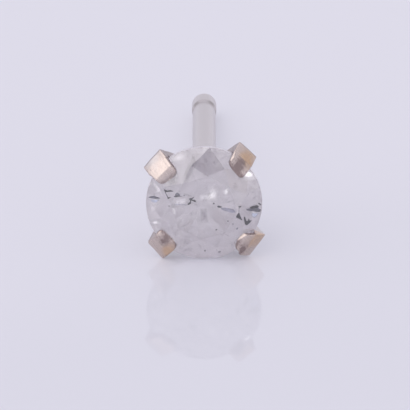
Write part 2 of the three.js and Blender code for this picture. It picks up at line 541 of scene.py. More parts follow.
@dataclass(frozen=True)
class WornWhiteGold:
    """White gold whose pale plating has rubbed through to warmer metal, with hairlines and pits.

    The fields with dirt, roughness or relief in their names say how much each mark adds to the tarnish
    and painted shade, to the roughness and to the height of the bumps. The grime mark is partly painted
    shade. Satin roughness is that of whole plating.
    """

    plated: Colour = (0.595, 0.56, 0.56)
    bare: Colour = (0.70, 0.605, 0.555)
    warm: Colour = (0.71, 0.52, 0.37)
    tarnish_and_shade: Colour = (0.31, 0.245, 0.235)
    patches: Grain = Grain(scale=1700, detail=3, low=0.75, high=1.15, weight=0.9)
    mottle: Grain = Grain(scale=2600, detail=3, low=0.5, high=1.15, weight=0.8)
    fine: Grain = Grain(scale=15000, detail=3, low=0.3, high=0.7)
    stains: Grain = Grain(scale=3900, detail=4, low=0.58, high=0.74)
    pits: Grain = Grain(scale=12000, detail=1, low=0.72, high=0.8)
    brush: Strokes = Strokes(azimuth=118, scales=(2600, 30000, 12000), detail=2, low=0.25, high=0.75)
    hairlines: tuple[Strokes, Strokes] = (
        Strokes(azimuth=128, scales=(900, 21000, 3000), detail=1, low=0.60, high=0.70),
        Strokes(azimuth=50, scales=(900, 21000, 3000), detail=1, low=0.66, high=0.74),
    )
    even_dirt_and_shade: float = 0.45
    grain_dirt_and_shade: float = 0.35
    speck_dirt: float = 0.65
    brush_dirt: float = 0.2
    fine_dirt: float = 0.16
    satin_roughness: float = 0.3
    rubbed_roughness: float = -0.1
    stain_roughness: float = 0.1
    grime_and_shade_roughness: float = 0.12
    hairline_roughness: float = 0.08
    dent_scale: float = 3800
    dent_detail: float = 1
    dent_relief: float = 1.4
    brush_relief: float = 0.12
    hairline_relief: float = -0.2
    pit_relief: float = -0.8
    relief: float = 4e-6

    def material(self, place: HeadFrame) -> bpy.types.Material:
        """Mixes plating, bare metal, and tarnish with painted shade, by noise and by the pieces' marks,
        with fine relief.

        Args:
            place: the head's frame, along whose axes the hairlines run.

        Returns:
            The material.
        """
        made, bench = Bench.for_material("worn_white_gold")
        where = bench.coordinates()
        rubbed, warmth, grime_and_shade = (bench.mark(name) for name in ("rubbed", "warmth", "grime_and_shade"))
        brushed, fine = self.brush.over(bench, where, place), self.fine.over(bench, where)
        stains, pits = (bench.times(grain.over(bench, where), rubbed) for grain in (self.stains, self.pits))
        scratched = bench.larger(*(strokes.over(bench, where, place) for strokes in self.hairlines))
        hairlines = bench.times(scratched, rubbed)
        warm = bench.times(self.mottle.over(bench, where, warmth), rubbed)
        worn = self.patches.over(bench, where, rubbed)
        colour = bench.blend(worn, opaque(self.plated), opaque(self.bare))
        colour = bench.blend(warm, colour, opaque(self.warm))
        texture = bench.total(((brushed, self.grain_dirt_and_shade), (fine, self.grain_dirt_and_shade)), self.even_dirt_and_shade)
        # Painted shade: the grime mark darkens the metal near the stone, on the sides and in the dark
        # spots, with some real grime.
        grime_and_shade_share = bench.ramp(bench.times(grime_and_shade, texture), 0.0, 1.0)
        specks = bench.times(bench.larger(stains, pits), self.speck_dirt)
        lines = bench.total(((brushed, self.brush_dirt), (fine, self.fine_dirt)))
        # Real specks and lines, and the painted shade of the grime mark, all darken towards the tarnish
        # colour.
        dirt_and_shade = bench.larger(specks, bench.total(((lines, rubbed),), grime_and_shade_share))
        uneven = (
            (stains, self.stain_roughness),
            (grime_and_shade_share, self.grime_and_shade_roughness),
            (hairlines, self.hairline_roughness),
            (rubbed, self.rubbed_roughness),
        )
        dents = bench.noise(where, self.dent_scale, self.dent_detail)
        heights = (
            (bench.times(dents, rubbed), self.dent_relief),
            (bench.times(brushed, rubbed), self.brush_relief),
            (hairlines, self.hairline_relief),
            (pits, self.pit_relief),
        )
        bump = {"Height": bench.total(heights), "Strength": 1.0, "Distance": self.relief}
        metal = {
            "Base Color": bench.blend(dirt_and_shade, colour, opaque(self.tarnish_and_shade)),
            "Metallic": 1.0,
            "Roughness": bench.total(uneven, self.satin_roughness),
            "Normal": bench.node("Bump", bump).outputs[0],
        }
        bench.finish(metal)
        return made


@dataclass(frozen=True)
class GlossyFloor:
    """Pale polished board, lit from below as well, with painted shade that makes it a little darker towards
    the front and the right.
    """

    light: Colour = (0.797, 0.792, 0.868)
    dark: Colour = (0.777, 0.775, 0.85)
    darkens: tuple[float, float, float] = (0.6, -0.8, 0.0)
    fade: float = 0.009
    roughness: float = 0.0
    refraction: float = 1.42
    glow: float = 0.28
    ambient: float = 0.84

    def material(self) -> bpy.types.Material:
        """A polished surface that fades from one colour to the other across the object, as painted shade.

        Returns:
            The material.
        """
        made, bench = Bench.for_material("glossy_floor")
        across = bench.dot(bench.coordinates(), self.darkens)
        colour = bench.blend(bench.ramp(across, 0.0, self.fade), opaque(self.light), opaque(self.dark))
        look = {
            "Base Color": bench.blend(self.glow, colour, opaque((0.0, 0.0, 0.0))),
            "Roughness": self.roughness,
            "IOR": self.refraction,
            "Emission Color": colour,
            "Emission Strength": self.glow * self.ambient,
        }
        bench.finish(look)
        return made


@dataclass(frozen=True)
class FlawFinish:
    """The look of a flaw shut in the stone: its colour, how solid it is and how soft its edge is.

    A flaw with a soft edge thins out to nothing at its rim, and one with a crisp edge to rim_share.
    """

    name: str
    colour: Colour
    solid: float
    soft: float
    cloudy: float = 0.0
    glow: float = 0.0
    crisp: float = 0.3
    rim_share: float = 0.6
    roughness: float = 0.7
    clouds: Grain = Grain(scale=5200, detail=4, low=0.36, high=0.64)
    mottle_scale: float = 9000
    mottle_detail: float = 3
    paler: float = 1.25

    def material(self) -> bpy.types.Material:
        """A dull surface that thins out towards its rim, and in clouds.

        The pieces' mark rim is 0 at a flaw's middle and 1 on its rim. A pale flaw's glow is painted light:
        it gives off some light, in place of the light that a real one catches from all round.

        Returns:
            The material.
        """
        made, bench = Bench.for_material(self.name)
        where = bench.coordinates()
        at_rim = 0.0 if self.soft > self.crisp else self.rim_share * self.solid
        cover = bench.ramp(bench.mark("rim"), 1 - self.soft, 1.0, self.solid, at_rim)
        paler = tuple(min(1.0, self.paler * part) for part in self.colour)
        mottle = bench.noise(where, self.mottle_scale, self.mottle_detail)
        look = {
            "Base Color": bench.blend(mottle, opaque(self.colour), opaque(paler)),
            "Roughness": self.roughness,
            "Specular IOR Level": 0.0,
            # Painted light: the flaw glows in its own colour, by its glow.
            "Emission Color": opaque(self.colour),
            "Emission Strength": self.glow,
            "Alpha": bench.times(cover, self.clouds.over(bench, where, least=1 - self.cloudy)),
        }
        bench.finish(look)
        return made


# ---------------------------------------------------------------------------------------------
# The stone
# ---------------------------------------------------------------------------------------------


@dataclass(frozen=True)
class Facets:
    """One family of facets, set evenly round the stone.

    A facet's plane goes through a point at a radius and a height, and its outward normal leans from z
    by an angle.
    """

    cut: Cut
    count: int
    first: float
    lean: float
    radius: float
    height: float

    def azimuths(self, turn: float) -> np.ndarray:
        """The facets' azimuths in degrees, on a stone turned by an angle."""
        return turn + self.first + np.arange(self.count) * 360 / self.count


@dataclass
class Brilliant:
    """The round brilliant: a ground bar cut by seven families of flat facets."""

    radius: float = 1.9
    girdle_sides: int = 192
    girdle_depth: float = 0.19
    table_share: float = 0.57
    kite_angle: float = 34.5
    star_angle: float = 21.5
    upper_half_angle: float = 41.0
    main_angle: float = 40.9
    lower_half_angle: float = 42.2
    culet_radius: float = 0.04
    turn: float = -5.5
    half_step: float = 11.25
    bar_radii: float = 3.0
    saw_reach: float = 1e-6
    weld: float = 2e-4
    facet_finish: CloudyDiamond = CloudyDiamond()
    girdle_finish: CloudyDiamond = CloudyDiamond(
        "bruted_girdle", (0.93, 0.90, 0.95), roughness=0.45, clear=0.45
    )

    @property
    def table_height(self) -> float:
        """Height of the table: the girdle's edge plus the rise of a kite facet up to the table's corner."""
        return self.girdle_depth / 2 + self.radius * (1 - self.table_share) * tangent(self.kite_angle)

    @property
    def culet_height(self) -> float:
        """Height of the culet: the girdle's lower edge less the fall of a main facet down to it."""
        return -self.girdle_depth / 2 - (self.radius - self.culet_radius) * tangent(self.main_angle)

    def crown_height(self, radius: np.ndarray | float) -> np.ndarray | float:
        """Height of the crown at a radius, along a kite facet."""
        return self.girdle_depth / 2 + (self.radius - radius) * tangent(self.kite_angle)

    def crown_over(self, points: np.ndarray) -> np.ndarray:
        """Height of the cut crown: that of the lowest facet plane over each point.

        Args:
            points: where it is wanted, in plan.

        Returns:
            The height at each point.
        """
        heights = [np.full(points.shape[:-1], self.table_height)]
        for family in self.families():
            if family.cut in (Cut.STAR, Cut.KITE, Cut.UPPER_HALF):
                outwards = polar(family.azimuths(self.turn), 1.0)
                planes = family.height + (family.radius - points @ outwards.T) * tangent(family.lean)
                heights.append(planes.min(-1))
        return np.minimum.reduce(heights)

    def pavilion_radius(self, height: float) -> float:
        """Radius of the pavilion at a height below the girdle, along a main facet."""
        return self.radius + (height + self.girdle_depth / 2) / tangent(self.main_angle)

    def families(self) -> list[Facets]:
        """The families of facets, in the order of cutting.

        The halves' planes meet the girdle half a step from the kites' and mains', where a chord of
        the round girdle is nearer to the axis by the cosine of that angle, and the stars' planes go
        through the table's sides.

        Returns:
            The families.
        """
        edge, half_radius = self.girdle_depth / 2, self.radius * math.cos(math.radians(self.half_step))
        corner = self.radius * self.table_share
        star_radius = corner * math.cos(math.radians(2 * self.half_step))
        return [
            Facets(Cut.TABLE, 1, 0, 0, 0, self.table_height),
            Facets(Cut.KITE, 8, 0, self.kite_angle, self.radius, edge),
            Facets(Cut.STAR, 8, 2 * self.half_step, self.star_angle, star_radius, self.table_height),
            Facets(Cut.UPPER_HALF, 16, self.half_step, self.upper_half_angle, half_radius, edge),
            Facets(Cut.MAIN, 8, 0, 180 - self.main_angle, self.radius, -edge),
            Facets(Cut.LOWER_HALF, 16, self.half_step, 180 - self.lower_half_angle, half_radius, -edge),
            Facets(Cut.CULET, 1, 0, 180, 0, self.culet_height),
        ]

    def build(self, place: HeadFrame) -> bpy.types.Object:
        """Cuts the stone from a round bar, one facet at a time, and closes each cut with a flat face.

        Args:
            place: the head's frame.

        Returns:
            The stone, with its facets in the first material slot and its girdle in the second.
        """
        work = bmesh.new()
        bar = {"radius1": self.radius, "radius2": self.radius, "depth": self.bar_radii * self.radius}
        bmesh.ops.create_cone(work, cap_ends=True, segments=self.girdle_sides, **bar)
        for side in work.faces:
            side.material_index = 1
        for family in self.families():
            azimuth, tilt = family.azimuths(self.turn), math.radians(family.lean)
            normals = np.c_[polar(azimuth, math.sin(tilt)), np.full(family.count, math.cos(tilt))]
            points = np.c_[polar(azimuth, family.radius), np.full(family.count, family.height)]
            for normal, point in zip(normals, points):
                self.cut(work, Vector(normal), Vector(point))
        bmesh.ops.remove_doubles(work, verts=work.verts, dist=self.weld)
        mesh = bpy.data.meshes.new("brilliant")
        work.to_mesh(mesh)
        work.free()
        local = np.zeros(len(mesh.vertices) * 3)
        mesh.vertices.foreach_get("co", local)
        mesh.vertices.foreach_set("co", place.place(local.reshape(-1, 3)).ravel())
        point_outwards(mesh)
        mesh.materials.append(self.facet_finish.material())
        mesh.materials.append(self.girdle_finish.material())
        return add_object("brilliant", mesh)

    def cut(self, work: bmesh.types.BMesh, normal: Vector, point: Vector) -> None:
        """Takes away all that lies outside one facet's plane, and fills the cut with a flat face.

        Args:
            work: the stone so far, which is changed.
            normal: the facet's outward normal.
            point: a point on its plane.
        """
        plane = {"plane_co": point, "plane_no": normal, "clear_outer": True, "dist": self.saw_reach}
        everything = work.verts[:] + work.edges[:] + work.faces[:]
        made = bmesh.ops.bisect_plane(work, geom=everything, **plane)
        rim = [part for part in made["geom_cut"] if isinstance(part, bmesh.types.BMEdge)]
        for face in bmesh.ops.edgeloop_fill(work, edges=rim, mat_nr=0)["faces"]:
            face.smooth = False


class Flaw(Enum):
    """Kinds of flaw in the stone, each with its finish. Some are painted reflection, painted light or
    painted shade.
    """

    # Painted reflection: the dark, hazy and frosty kinds, and the smoky kind in the row, paint the facets'
    # reflections of dark surroundings; the smoky kind is also real specks and crystals.
    DARK_REFLECTION = FlawFinish("painted_dark_reflection", (0.012, 0.010, 0.018), solid=0.98, soft=0.06)
    SMOKE = FlawFinish("smoky_flaw_and_painted_reflection", (0.04, 0.05, 0.13), solid=0.6, soft=0.12, cloudy=0.15)
    HAZY_REFLECTION = FlawFinish("painted_hazy_reflection", (0.13, 0.16, 0.40), solid=0.3, soft=0.15, cloudy=0.3)
    PALE_REFLECTION = FlawFinish("painted_pale_reflection", (0.66, 0.73, 0.96), solid=0.5, soft=0.6, cloudy=0.3, glow=0.12)
    # Painted light: the feathers glow as painted highlights, and the clouds glow as painted light.
    FEATHER = FlawFinish("painted_glint_feather", (0.98, 0.96, 0.98), solid=0.85, soft=0.7, cloudy=0.3, glow=0.52)
    PAINTED_LIGHT_CLOUD = FlawFinish("painted_light_cloud", (0.98, 0.95, 0.99), solid=0.3, soft=1.0, cloudy=0.3, glow=0.45)
    # Painted shade: the grey veils darken parts of the stone.
    SHADE = FlawFinish("painted_shade_veil", (0.30, 0.26, 0.30), solid=0.34, soft=1.0, cloudy=0.25)
    VEIL = FlawFinish("pale_veil", (0.78, 0.75, 0.78), solid=0.3, soft=1.0, cloudy=0.7)
    GRAIN = FlawFinish("pale_grain", (0.80, 0.78, 0.82), solid=0.7, soft=0.1)


@dataclass(frozen=True)
class Flake:
    """A thin flaw that lies a little way under the crown, along its facets or at a tilt of its own."""

    kind: Flaw
    outline: tuple[tuple[float, float], ...]
    depth: float = 0.04
    tilt: tuple[float, float] | None = None
    thickness: float = 0.006
    corner_radius: float = 0.02
    corner_steps: int = 4
    rings: int = 17
    first_ring: float = 4.0

    @classmethod
    def oval(
        cls,
        kind: Flaw,
        x: float,
        y: float,
        length: float,
        width: float,
        turn: float,
        depth: float,
        tilt: tuple[float, float] | None = None,
    ) -> "Flake":
        """A flake with an oval outline.

        Args:
            kind: the kind of flaw.
            x: of its middle, in plan.
            y: of its middle, in plan.
            length: half its length.
            width: half its width.
            turn: of its length from the x axis, in degrees.
            depth: of its middle under the crown.
            tilt: its rise along x and along y, or None to follow the crown.

        Returns:
            The flake.
        """
        circle = polar(np.arange(OVAL_CORNERS) * 360 / OVAL_CORNERS, 1.0) * (length, width)
        axes = np.stack((polar(turn, 1.0), polar(turn + 90, 1.0)))
        return cls(kind, tuple(map(tuple, circle @ axes + (x, y))), depth, tilt)

    def skin(self, stone: Brilliant) -> Skin:
        """The flake's surface, in the head's frame.

        The outline is drawn in towards its middle by the sine of an angle that goes from near 0 to
        near 180 degrees, and the surface stands off the flake's middle layer by the angle's cosine.

        Args:
            stone: the stone that it is in.

        Returns:
            The closed surface, with 0 in its middle and 1 at its rim as its mark rim.
        """
        corners = np.array(self.outline)
        edge = rounded(corners, self.corner_radius, self.corner_steps, closed=True)
        middle = corners.mean(0)
        angle = np.radians(np.linspace(self.first_ring, 180 - self.first_ring, self.rings))[:, None]
        flat = middle + np.sin(angle)[..., None] * (edge - middle)
        if self.tilt is None:
            layer = stone.crown_over(flat)
        else:
            layer = stone.crown_over(middle) + (flat - middle) @ np.array(self.tilt)
        height = layer - self.depth + self.thickness * np.cos(angle)
        return Skin(np.concatenate((flat, height[..., None]), -1), {"rim": np.sin(angle)})


@dataclass
class Pinpoints:
    """A cloud of tiny crystals all through the stone, drawn at random."""

    kind: Flaw
    count: int
    smallest: float
    largest: float
    seed: int
    margin: float = 0.06
    rim_margin: float = 0.18
    rings: int = 5
    first_ring: float = 12.0
    corners: int = 6

    def skins(self, stone: Brilliant) -> list[Skin]:
        """The crystals' surfaces: small balls with few sides, each stretched in a direction of its own.

        A ball's rings are the sines of an angle that goes from near 0 to near 180 degrees, at heights
        of its cosines. Its middle is at the square root of a random share of the radius, so that the
        cloud is even in plan, and at a random height between the pavilion and the crown.

        Args:
            stone: the stone that they are in.

        Returns:
            One closed surface for each crystal.
        """
        draw = np.random.default_rng(self.seed)
        spread = stone.radius - self.rim_margin
        plan = polar(draw.uniform(0, 360, self.count), spread * np.sqrt(draw.uniform(0, 1, self.count)))
        top = stone.crown_over(plan) - self.margin
        bottom = stone.culet_height + np.linalg.norm(plan, axis=1) * tangent(stone.lower_half_angle)
        height = bottom + self.margin + (top - bottom - 2 * self.margin) * draw.uniform(0, 1, self.count)
        size = self.smallest * (self.largest / self.smallest) ** draw.uniform(0, 1, (self.count, 3))
        angle = np.radians(np.linspace(self.first_ring, 180 - self.first_ring, self.rings))[:, None]
        flat = np.sin(angle)[..., None] * polar(np.arange(self.corners) * 360 / self.corners, 1.0)
        ball = np.concatenate((flat, np.broadcast_to(np.cos(angle), flat.shape[:2])[..., None]), -1)
        middles = np.concatenate((plan, height[:, None]), 1)
        rims = {"rim": np.array(0.0)}
        return [Skin(middle + ball * stretch, rims) for middle, stretch in zip(middles, size)]


@dataclass
class Veils:
    """Faint veils at random places and tilts, most of them drawn out away from the culet.

    Spread is the share of the stone's radius that they keep within.
    """

    kind: Flaw = Flaw.VEIL
    count: int = 70
    seed: int = 31
    spread: float = 0.85
    inmost: float = 0.02
    depths: tuple[float, float] = (0.08, 0.75)
    least_depth: float = 0.07
    lengths: tuple[float, float] = (0.06, 0.24)
    widths: tuple[float, float] = (0.15, 0.6)
    stray: float = 22.0
    lean: float = 0.16

    def flakes(self, stone: Brilliant) -> list[Flake]:
        """The veils as flakes.

        Their radius is the square root of a random share of the spread, so that they are even in plan.
        Their depth is a random share of the stone's thickness there, their length is random, their
        width is a random share of the length, and they turn from the line to the culet and lean from
        the table's plane by normal draws.

        Args:
            stone: the stone that they are in.

        Returns:
            The veils.
        """
        draw = np.random.default_rng(self.seed)
        azimuth = draw.uniform(0, 360, self.count)
        radius = self.spread * stone.radius * np.sqrt(draw.uniform(self.inmost, 1, self.count))
        plan = polar(azimuth, radius)
        thick = stone.crown_over(plan) - stone.culet_height - radius * tangent(stone.main_angle)
        depth = np.maximum(thick * draw.uniform(*self.depths, self.count), self.least_depth)
        length = draw.uniform(*self.lengths, self.count)
        width = length * draw.uniform(*self.widths, self.count)
        turn = azimuth + draw.normal(0, self.stray, self.count)
        tilts = draw.normal(0, self.lean, (self.count, 2)).tolist()
        rows = np.column_stack((plan, length, width, turn, depth)).tolist()
        return [Flake.oval(self.kind, *row, tuple(tilt)) for row, tilt in zip(rows, tilts)]


@dataclass
class Flaws:
    """The stone's flaws: a row of dark flakes from side to side that paint reflections, pale feathers and
    clouds that glow as painted light, grey veils of painted shade, and pinpoint crystals.
    """

    veils: Veils = field(default_factory=Veils)
    strip_depth: float = 0.07
    bar_depth: float = 0.08

    def flakes(self) -> list[Flake]:
        """The row of dark, hazy and frosty flakes, painted reflections with outlines in plan, and the dark
        specks.

        Returns:
            The flakes.
        """
        # Painted reflection: these flakes paint the facets' dark reflections of the surroundings, and the
        # frosty ones also glow as painted light.
        dark, smoky_reflection, haze, frosty_reflection = Flaw.DARK_REFLECTION, Flaw.SMOKE, Flaw.HAZY_REFLECTION, Flaw.PALE_REFLECTION
        cut = [
            (smoky_reflection, ((-1.835, 0.208), (-1.736, 0.264), (-1.615, 0.307), (-1.563, 0.284),
                (-1.475, 0.275), (-1.387, 0.252), (-1.498, 0.227), (-1.606, 0.199), (-1.714, 0.195))),
            (frosty_reflection, ((-1.769, 0.160), (-1.573, 0.189), (-1.409, 0.231), (-1.442, 0.164),
                (-1.573, 0.052), (-1.687, 0.049), (-1.785, 0.097))),
            (dark, ((-1.305, 0.566), (-1.269, 0.583), (-1.223, 0.541), (-1.105, 0.581), (-1.007, 0.561),
                (-0.974, 0.542), (-1.105, 0.520), (-1.249, 0.490))),
            (smoky_reflection, ((-1.272, 0.499), (-1.249, 0.510), (-1.161, 0.340), (-1.187, 0.321))),
            (dark, ((-1.187, 0.338), (-1.050, 0.360), (-1.115, 0.315), (-1.158, 0.280),
                (-1.184, 0.305))),
            (dark, ((-0.984, 0.389), (-0.919, 0.412), (-0.778, 0.405), (-0.647, 0.402), (-0.844, 0.378),
                (-0.974, 0.355))),
            (smoky_reflection, ((-0.919, 0.483), (-0.863, 0.520), (-0.798, 0.467), (-0.772, 0.405),
                (-0.952, 0.402))),
            (smoky_reflection, ((-0.703, 0.402), (-0.651, 0.443), (-0.612, 0.450), (-0.638, 0.405))),
            (dark, ((-0.500, 0.286), (-0.471, 0.341), (-0.405, 0.334), (-0.353, 0.368), (-0.298, 0.388),
                (-0.356, 0.327), (-0.396, 0.279), (-0.455, 0.262))),
            (dark, ((-0.428, 0.300), (-0.376, 0.286), (-0.298, 0.273), (-0.255, 0.215), (-0.275, 0.191),
                (-0.363, 0.235), (-0.422, 0.252))),
            (dark, ((-0.458, 0.279), (-0.419, 0.279), (-0.422, 0.184), (-0.455, 0.184))),
            (dark, ((-0.455, 0.208), (-0.415, 0.198), (-0.425, 0.147), (-0.517, 0.102), (-0.556, 0.113),
                (-0.504, 0.170))),
            (dark, ((-1.131, 0.095), (-1.105, 0.039), (-1.154, 0.030))),
            (haze, ((-0.984, 0.140), (-0.788, 0.130), (-0.569, 0.109), (-0.569, 0.089), (-0.788, 0.106),
                (-0.984, 0.119))),
            (dark, ((0.347, 0.153), (0.331, 0.125), (0.300, 0.125), (0.284, 0.153), (0.300, 0.181),
                (0.331, 0.181))),
            (dark, ((0.409, 0.055), (0.474, 0.082), (0.595, 0.051), (0.543, 0.007), (0.455, 0.014))),
            (haze, ((0.507, 0.014), (0.683, 0.014), (0.847, -0.013), (0.952, -0.037), (1.056, -0.157),
                (0.847, -0.157), (0.729, -0.116), (0.615, -0.085))),
            (dark, ((1.092, 0.054), (1.154, 0.048), (1.213, 0.058), (1.184, 0.005), (1.148, -0.009),
                (1.125, 0.011))),
            (smoky_reflection, ((1.118, 0.012), (1.138, 0.010), (1.131, -0.158), (1.112, -0.154))),
            (dark, ((1.122, -0.139), (1.181, -0.317), (1.246, -0.477), (1.197, -0.435),
                (1.024, -0.312))),
            (dark, ((1.282, -0.345), (1.324, -0.354), (1.360, -0.479), (1.390, -0.568), (1.324, -0.611),
                (1.292, -0.455))),
            (dark, ((1.445, -0.406), (1.475, -0.509), (1.449, -0.597), (1.396, -0.584),
                (1.416, -0.504))),
            (dark, ((1.324, -0.493), (1.419, -0.515), (1.501, -0.516), (1.563, -0.492), (1.491, -0.587),
                (1.383, -0.665), (1.315, -0.605))),
            (dark, ((1.419, -0.060), (1.596, -0.027), (1.733, -0.024), (1.782, -0.107), (1.746, -0.141),
                (1.566, -0.115))),
            (smoky_reflection, ((1.337, -0.103), (1.442, -0.089), (1.733, -0.118), (1.851, -0.208),
                (1.815, -0.293), (1.642, -0.241), (1.406, -0.159))),
            (dark, ((1.733, 0.030), (1.792, 0.026), (1.880, -0.072), (1.815, -0.060))),
            (frosty_reflection, ((1.524, -0.238), (1.808, -0.306), (1.697, -0.442), (1.619, -0.499),
                (1.514, -0.344))),
        ]
        specks = [
            (0.40, -0.74, 0.036, 0.022, 30, 0.05),
            (1.07, -0.73, 0.042, 0.026, 60, 0.05),
            (0.78, -0.45, 0.026, 0.020, 0, 0.05),
            (0.93, -0.55, 0.030, 0.018, 100, 0.05),
            (0.50, -1.59, 0.050, 0.030, 10, 0.04),
            (0.03, -1.53, 0.028, 0.040, 0, 0.04),
        ]
        return [Flake(kind, outline) for kind, outline in cut] + self.ovals(Flaw.SMOKE, specks)

    @staticmethod
    def ovals(kind: Flaw, rows: list[tuple[float, ...]]) -> list[Flake]:
        """Oval flakes that follow the crown, from rows of their middle, half sizes, turn and depth."""
        return [Flake.oval(kind, *row) for row in rows]

    def feathers(self) -> list[Flake]:
        """The pale feathers, with soft rims, that glow as painted highlights.

        Returns:
            The flakes.
        """
        # Painted highlight: the glint and the sliver glow.
        glint = (
            (1.15, 1.12), (1.26, 1.20), (1.40, 1.17), (1.54, 1.06),
            (1.64, 0.91), (1.50, 0.88), (1.29, 0.93), (1.18, 1.02),
        )
        glint_sliver = [(0.73, 0.55, 0.08, 0.022, 80, 0.06)]
        return [Flake(Flaw.FEATHER, glint)] + self.ovals(Flaw.FEATHER, glint_sliver)

    def drifts(self) -> list[Flake]:
        """Soft pale clouds that glow as painted light, and grey veils of painted shade, that follow the
        crown a little way under it.

        Returns:
            The flakes.
        """
        # Painted light: the strip and the pale ovals are clouds that glow.
        glowing_strip = ((-1.09, 0.30), (-0.42, 0.42), (-0.50, 0.08), (-1.06, -0.02))
        # Painted shade: the bar and the dull ovals are grey veils that darken parts of the stone.
        bar = ((-0.16, 0.04), (0.10, 0.04), (0.19, -0.56), (-0.14, -0.55))
        glowing_ovals = [
            (-1.52, 0.58, 0.34, 0.12, 125, 0.06),
            (-1.66, -0.12, 0.18, 0.12, 90, 0.06),
            (-0.98, -0.10, 0.07, 0.22, 15, 0.06),
            (0.26, 0.46, 0.40, 0.28, 70, 0.12),
            (0.30, 0.44, 0.24, 0.17, 70, 0.09),
            (0.20, 0.37, 0.24, 0.15, 40, 0.07),
            (-0.02, 0.36, 0.24, 0.16, 20, 0.10),
            (0.72, 0.56, 0.22, 0.14, 80, 0.08),
            (0.72, 0.56, 0.14, 0.08, 80, 0.06),
            (1.50, 0.90, 0.32, 0.20, -15, 0.07),
            (1.62, -0.22, 0.22, 0.16, 80, 0.06),
            (-1.58, -0.60, 0.22, 0.12, 20, 0.06),
            (-1.58, -0.60, 0.14, 0.07, 20, 0.05),
            (-0.80, 1.58, 0.32, 0.18, 15, 0.05),
        ]
        shade_ovals = [
            (-1.02, 0.88, 0.30, 0.18, 40, 0.04),
            (-0.45, 1.25, 0.54, 0.15, 62, 0.06),
        ]
        clouds = [Flake(Flaw.PAINTED_LIGHT_CLOUD, glowing_strip, self.strip_depth)] + self.ovals(Flaw.PAINTED_LIGHT_CLOUD, glowing_ovals)
        return clouds + [Flake(Flaw.SHADE, bar, self.bar_depth)] + self.ovals(Flaw.SHADE, shade_ovals)

    def crystals(self) -> list[Pinpoints]:
        """The clouds of pinpoint crystals, pale and dark.

        Returns:
            The clouds.
        """
        return [
            Pinpoints(Flaw.GRAIN, count=120, smallest=0.006, largest=0.022, seed=21),
            Pinpoints(Flaw.SMOKE, count=36, smallest=0.005, largest=0.018, seed=22),
        ]

    def build(self, stone: Brilliant, place: HeadFrame) -> list[bpy.types.Object]:
        """Makes one piece of each kind of flaw.

        Args:
            stone: the stone that they are in.
            place: the head's frame.

        Returns:
            The pieces.
        """
        flakes = self.flakes() + self.feathers() + self.drifts() + self.veils.flakes(stone)
        skins = {kind: [flake.skin(stone) for flake in flakes if flake.kind is kind] for kind in Flaw}
        for cloud in self.crystals():
            skins[cloud.kind] += cloud.skins(stone)
        return [
            make_piece(kind.value.name + "s", skins[kind], place, kind.value.material()) for kind in Flaw
        ]


# ---------------------------------------------------------------------------------------------
# The setting
# ---------------------------------------------------------------------------------------------


@dataclass(frozen=True)
class Flat:
    """A place worn flat: the azimuth that it faces, its normal's lean from z, and its depth."""

    azimuth: float
    lean: float
    depth: float


